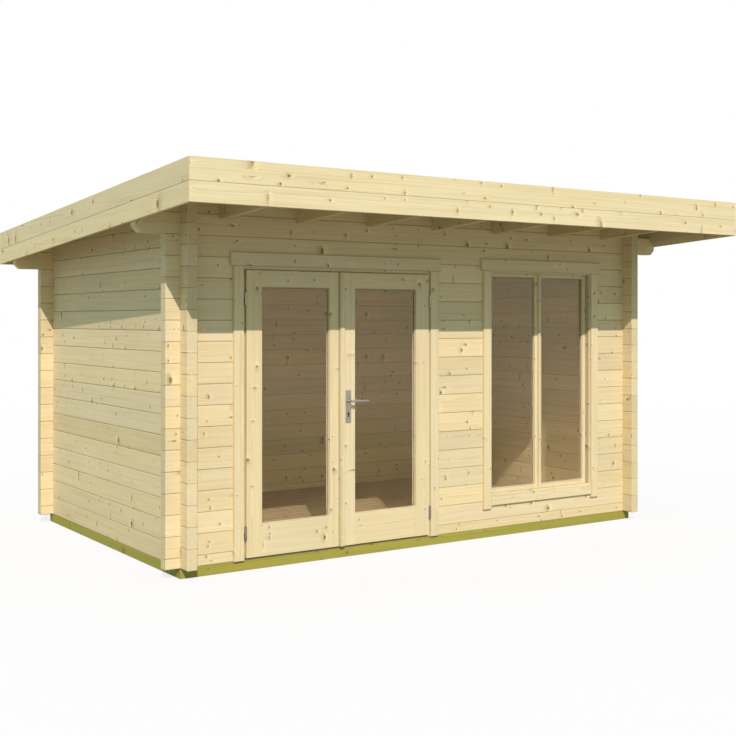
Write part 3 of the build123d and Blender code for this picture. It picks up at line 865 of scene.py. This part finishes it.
dress(makeGlass(), "left_leaf_glass", "right_leaf_glass", "window_glass")
dress(metalMaterial("plated_steel"), "frame_hinges", "left_leaf_hinges", "right_leaf_hinges")
dress(metalMaterial("bare_aluminium"), "door_threshold")


# The lock plates and the lever get rounded edges

fittings = {
    "lock_plates": {"body": "right_leaf", "node": "door_lock", "ease": 0.0006, "steps": 1},
    "lever_pair": {"body": "lever", "node": "door_lever", "ease": 0.0024, "steps": 3},
}
smoothUpTo = 32.0  # degrees between two faces that shade as one
cylinderUpTo = 0.025  # any solid of the lock that is narrower is its dark cylinder


def makeFittings():
    steel, nickel = metalMaterial("satin_steel"), metalMaterial("dark_nickel")
    for name, fitting in fittings.items():
        mesh = easedCopy(fitting["node"], fitting["ease"], fitting["steps"])
        for solid in solidsIn(mesh):
            low, high = corners(solid)
            if high.x - low.x < cylinderUpTo:
                for vert in solid:
                    for face in vert.link_faces:
                        face.material_index = 1
        piece = joined(name, [mesh], steel, nickel)
        dropNormals(piece.data)
        piece.data.shade_smooth()
        piece.data.set_sharp_from_angle(angle=math.radians(smoothUpTo))
        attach(piece, fitting["body"])
        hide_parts(fitting["node"])
    print("fittings:", len(fittings))


makeFittings()


# Glazing gaskets: a ring of brown rubber round each pane, over both of its faces

def makeGasketRing():
    tree, given, put = geometryTree("gasketRing", {
        "Float": ["Width", "Height", "Across", "Deep", "Edge"],
        "Vector": ["Place"],
        "Material": ["Finish"],
    })
    ring = shape(tree, "CurvePrimitiveQuadrilateral", {
        "Width": given["Width"], "Height": given["Height"]})
    # a profile set on a mitre looks narrower by the cosine of 45 degrees
    mitred = times(tree, given["Across"], math.sqrt(2))
    section = easedSection(tree, mitred, given["Deep"], given["Edge"])
    swept = shape(tree, "CurveToMesh", {"Curve": ring, "Profile Curve": section})
    upright = shape(tree, "Transform", {
        "Geometry": swept, "Translation": given["Place"], "Rotation": (math.pi / 2, 0, 0)})
    putFinished(tree, put, upright, given["Finish"])
    return tree


gaskets = {"bite": 0.008, "Across": 0.0034, "Deep": 0.009, "Edge": 0.0012}
gasketPieces = {
    "left_leaf_gasket": ("left_leaf", "left_leaf_glass"),
    "right_leaf_gasket": ("right_leaf", "right_leaf_glass"),
    "window_gaskets": ("house", "window_glass"),
}
rubberLook = {"dustScale": 60.0, "dark": (0.24, 0.18, 0.11, 1), "pale": (0.34, 0.26, 0.16, 1),
              "rough": 0.5, "roughRange": 0.2}


def makeRubber():
    material, tree, shader = newMaterial("brown_rubber", {"Specular IOR Level": 0.2})
    dust = noise(tree, objectPlace(tree), scale=rubberLook["dustScale"], detail=3.0)["Fac"]
    feedShader(tree, shader, mixColour(tree, dust, rubberLook["dark"], rubberLook["pale"]),
               ramp(tree, dust, rubberLook["roughRange"], rubberLook["rough"]))
    return material


def makeGaskets():
    ring, rubber = makeGasketRing(), makeRubber()
    inset = 2 * gaskets["bite"] + gaskets["Across"]
    for name, (body, node) in gasketPieces.items():
        meshes = []
        for low, high in solidBoxes(node):
            single = grown("ring", ring, {
                **gaskets,
                "Width": high.x - low.x - inset,
                "Height": high.z - low.z - inset,
                "Place": (low + high) / 2,
                "Finish": rubber,
            })
            mesh = bmesh.new()
            mesh.from_mesh(single.data)
            meshes.append(mesh)
            bpy.data.objects.remove(single)
        piece = joined(name, meshes, rubber)
        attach(piece, body)
    print("gaskets:", len(gasketPieces))


makeGaskets()


# Window lining: four strips in front of the sashes, which show as a step inside the casings

windowLining = {"thick": 0.010, "ease": 0.0010}


def makeWindowLining():
    sashLow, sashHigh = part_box("window_sash_stiles")
    postLow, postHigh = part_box("window_posts")
    thick = windowLining["thick"]
    y0, y1 = postLow.y, sashLow.y
    x0, x1, z0, z1 = sashLow.x, sashHigh.x, sashLow.z, sashHigh.z
    in0, in1 = x0 + thick, x1 - thick
    strips = {
        "Z": ("uprights", [(x0, in0, z0, z1), (in1, x1, z0, z1)]),
        "X": ("crosses", [(in0, in1, z0, z0 + thick), (in0, in1, z1 - thick, z1)]),
    }
    for grain, (kind, boxes) in strips.items():
        mesh = bmesh.new()
        for left, right, bottom, top in boxes:
            for vert in bmesh.ops.create_cube(mesh, size=1.0)["verts"]:
                x, y, z = vert.co
                vert.co = (left if x < 0 else right, y0 if y < 0 else y1, bottom if z < 0 else top)
        easeEdges(mesh, mesh.edges[:], windowLining["ease"])
        markBoards(mesh, grain, "stick", "lining" + grain)
        # Painted shade: the lining's faces that don't face front or back are marked to be darkened like a
        # joint's
        joint = mesh.faces.layers.float["joint"]
        for face in mesh.faces:
            if abs(face.normal.y) < 0.5:
                face[joint] = 1.0
        piece = joined("window_lining_" + kind, [mesh], woodMaterial("joinery_wood", grain))
        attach(piece, "house")
    print("window lining: 4 strips")


makeWindowLining()


# Nails and screws: one tree sets a low head on each point of a mesh, turned as its "turn" says

headTop = 0.72  # a head's upper radius, in lower ones


def makeHeads():
    inputs = {"Float": ["Radius", "Rise"], "Int": ["Sides"], "Material": ["Finish"]}
    tree, given, put = geometryTree("heads", inputs)
    head = shape(tree, "MeshCone", {
        "Vertices": given["Sides"],
        "Radius Bottom": given["Radius"],
        "Radius Top": times(tree, given["Radius"], headTop),
        "Depth": given["Rise"],
    })
    turn = shape(tree, "InputNamedAttribute", {"Name": "turn"}, data_type="FLOAT_VECTOR")
    placed = shape(tree, "InstanceOnPoints", {
        "Points": given["Geometry"], "Instance": head, "Rotation": turn})
    real = shape(tree, "RealizeInstances", {"Geometry": placed})
    putFinished(tree, put, real, given["Finish"])
    return tree


heads = makeHeads()
headKinds = {
    "casing_nails": {"body": "house", "Radius": 0.0021, "Rise": 0.0005, "Sides": 8,
                     "every": 0.42, "end": 0.035, "aside": 0.30, "boardFrom": 0.03},
    "floor_nails": {"body": "house", "Radius": 0.0030, "Rise": 0.0005, "Sides": 8, "aside": 0.28},
    "plate_screws": {"body": "right_leaf", "Radius": 0.0036, "Rise": 0.0010, "Sides": 16, "end": 0.014},
    "felt_nails": {"body": "house", "Radius": 0.0050, "Rise": 0.0012, "Sides": 10,
                   "every": 0.10, "end": 0.030},
}
upwards = (0.0, 0.0, 0.0)
forwards = (math.pi / 2, 0.0, 0.0)
backwards = (-math.pi / 2, 0.0, 0.0)


def setHeads(name, findPlaces, finish):
    kind = headKinds[name]
    places = list(findPlaces(kind))
    data = bpy.data.meshes.new(name)
    data.from_pydata([place for place, turn in places], [], [])
    turns = data.attributes.new("turn", "FLOAT_VECTOR", "POINT")
    turns.data.foreach_set("vector", [value for place, turn in places for value in turn])
    piece = grown(name, heads, {**kind, "Finish": finish}, data)
    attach(piece, kind["body"])
    print(name.replace("_", " ") + ":", len(places))


def spread(low, high, end, every):
    # Even places from near one end to near the other
    run = high - low - 2 * end
    count = max(1, round(run / every))
    return [low + end + run * n / count for n in range(count + 1)]


def casingNails(kind):
    for low, high in solidBoxes("upright_casings") + solidBoxes("cross_casings"):
        size = high - low
        along, across = (2, 0) if size.z > size.x else (0, 2)
        if size[across] < kind["boardFrom"]:
            continue
        for position in spread(low[along], high[along], kind["end"], kind["every"]):
            for side in (-1, 1):
                place = (low + high) / 2
                place[along] = position
                place[across] += side * kind["aside"] * size[across]
                place.y = low.y - kind["Rise"] / 2
                yield place, forwards


def floorNails(kind):
    # Two in each board over each joist
    low, high, count, width = floorRow()
    for joistLow, joistHigh in solidBoxes("floor_joists"):
        x = (joistLow.x + joistHigh.x) / 2
        if low.x < x < high.x:
            for n in range(count):
                for side in (-1, 1):
                    y = low.y + width * (n + 0.5 + side * kind["aside"])
                    yield Vector((x, y, high.z + kind["Rise"] / 2)), upwards


def plateScrews(kind):
    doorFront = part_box("right_leaf_stiles")[0].y
    for low, high in solidBoxes("door_lock"):
        if high.x - low.x < cylinderUpTo:
            continue
        outside = low.y < doorFront
        y = low.y - kind["Rise"] / 2 if outside else high.y + kind["Rise"] / 2
        for z in (low.z + kind["end"], high.z - kind["end"]):
            yield Vector(((low.x + high.x) / 2, y, z)), forwards if outside else backwards


def feltTop(distance, step, width):
    # How far the uppermost strip lies over the middle of the felt, at a distance down the slope
    strip = math.floor((distance - feltStrips["lap"]) / step)
    strip = min(max(0, strip), feltStrips["Count"] - 1)
    rise = (distance - strip * step - width / 2) * feltStrips["Thickness"] / step
    return feltStrips["lift"] + feltStrips["Thickness"] / 2 + rise


def feltNails(kind):
    # A row at the front edge and at each strip's back edge, and a column at each side
    start, run, tilt, step, width = feltRow()
    low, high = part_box("roofing_felt")
    end, every = kind["end"], kind["every"]
    rows = [end] + [step.length * n + feltStrips["lap"] - end for n in range(1, feltStrips["Count"] + 1)]
    spots = [(x, distance) for distance in rows for x in spread(low.x, high.x, end, every)]
    for x in (low.x + end, high.x - end):
        spots += [(x, distance) for distance in spread(0.0, run.length, every, every)]
    for x, distance in spots:
        place = start + run.normalized() * distance
        place.x = x
        place.z += feltTop(distance, step.length, width) + kind["Rise"] / 2
        yield place, (tilt, 0.0, 0.0)


zinc = metalMaterial("plated_steel_heads")
setHeads("casing_nails", casingNails, zinc)
setHeads("floor_nails", floorNails, zinc)
setHeads("plate_screws", plateScrews, bpy.data.materials["satin_steel"])
setHeads("felt_nails", feltNails, zinc)
print("glass, metal, rubber and nails done")


# Stage: a pale floor that fades into the white behind it, a low sun and a soft sky

stage = {
    "floorSize": 120.0,
    "floorSeen": (0.84, 0.775, 0.775, 1),
    "floorBounce": (0.292, 0.268, 0.230, 1),
    "floorSurface": {"Roughness": 0.9, "Specular IOR Level": 0.1},
    "fade": (7.0, 16.0, 0.8, 1.0),  # the floor's own white: near, far, and how much there
    "skyLight": (0.426, 0.614, 0.640, 1),
    "skyMirrored": (1.02, 1.00, 0.80, 1),
    "floorMirrored": (0.36, 0.35, 0.26, 1),
    "farMirrored": (0.92, 0.80, 0.63, 1),  # near the sky's brightness, so that no line parts them
    "mirrorFade": (3.5, 18.0),
    "sunTowards": (-0.4926, -1.0, 0.908),
    "sunPower": 3.33,
    "sunWidth": 0.4,  # degrees across
    "sunColour": (1.0, 0.905, 0.885),
}


def makeFloor():
    half = stage["floorSize"] / 2
    data = bpy.data.meshes.new("stage_floor")
    rim = [(-half, -half, 0), (half, -half, 0), (half, half, 0), (-half, half, 0)]
    data.from_pydata(rim, [], [(0, 1, 2, 3)])
    floor = newObject("stage_floor", data)
    material, tree, shader = newMaterial("pale_floor", stage["floorSurface"])
    path = add(tree, "ShaderNodeLightPath").outputs
    away = vectorCalc(tree, "LENGTH", objectPlace(tree))
    far = ease(tree, away, *stage["mirrorFade"])
    mirrored = mixColour(tree, far, stage["floorMirrored"], stage["farMirrored"])
    tone = mixColour(tree, path["Is Camera Ray"], stage["floorBounce"], stage["floorSeen"])
    feedShader(tree, shader, mixColour(tree, path["Is Glossy Ray"], tone, mirrored))
    white = add(tree, "ShaderNodeEmission")
    fade = ease(tree, away, *stage["fade"])
    fade = times(tree, fade, path["Is Camera Ray"])
    mixSurface(tree, "Material Output", fade, shader.outputs[0], white.outputs[0])
    data.materials.append(material)


def makeSun():
    lamp = bpy.data.lights.new("sun", "SUN")
    lamp.energy = stage["sunPower"]
    lamp.angle = math.radians(stage["sunWidth"])
    lamp.color = stage["sunColour"]
    sun = newObject("sun", lamp)
    sun.rotation_euler = Vector(stage["sunTowards"]).to_track_quat("Z", "Y").to_euler()


def makeSky():
    world = bpy.data.worlds.new("sky")
    scene.world = world
    world.use_nodes = True
    tree = world.node_tree
    light = tree.nodes["Background"]
    white = add(tree, "ShaderNodeBackground", {"Color": (1, 1, 1, 1)})
    path = add(tree, "ShaderNodeLightPath").outputs
    tone = mixColour(tree, path["Is Glossy Ray"], stage["skyLight"], stage["skyMirrored"])
    feed(tree, [light.inputs["Color"]], [tone])
    mixSurface(tree, "World Output", path["Is Camera Ray"], light.outputs[0], white.outputs[0])


cameraView = {
    "place": (-4.995, -7.820, 1.624),
    "turn": -33.614,  # degrees about the upright
    "lens": 55.89,
    "shift": (0.0078, -0.0660),
    "farthest": 200.0,
}


def makeCamera():
    lens = bpy.data.cameras.new("camera")
    lens.lens = cameraView["lens"]
    lens.shift_x, lens.shift_y = cameraView["shift"]
    lens.clip_end = cameraView["farthest"]
    camera = newObject("camera", lens)
    camera.location = cameraView["place"]
    camera.rotation_euler = (math.pi / 2, 0, math.radians(cameraView["turn"]))
    scene.camera = camera


makeFloor()
makeSun()
makeSky()
makeCamera()
scene.view_settings.view_transform = "Standard"
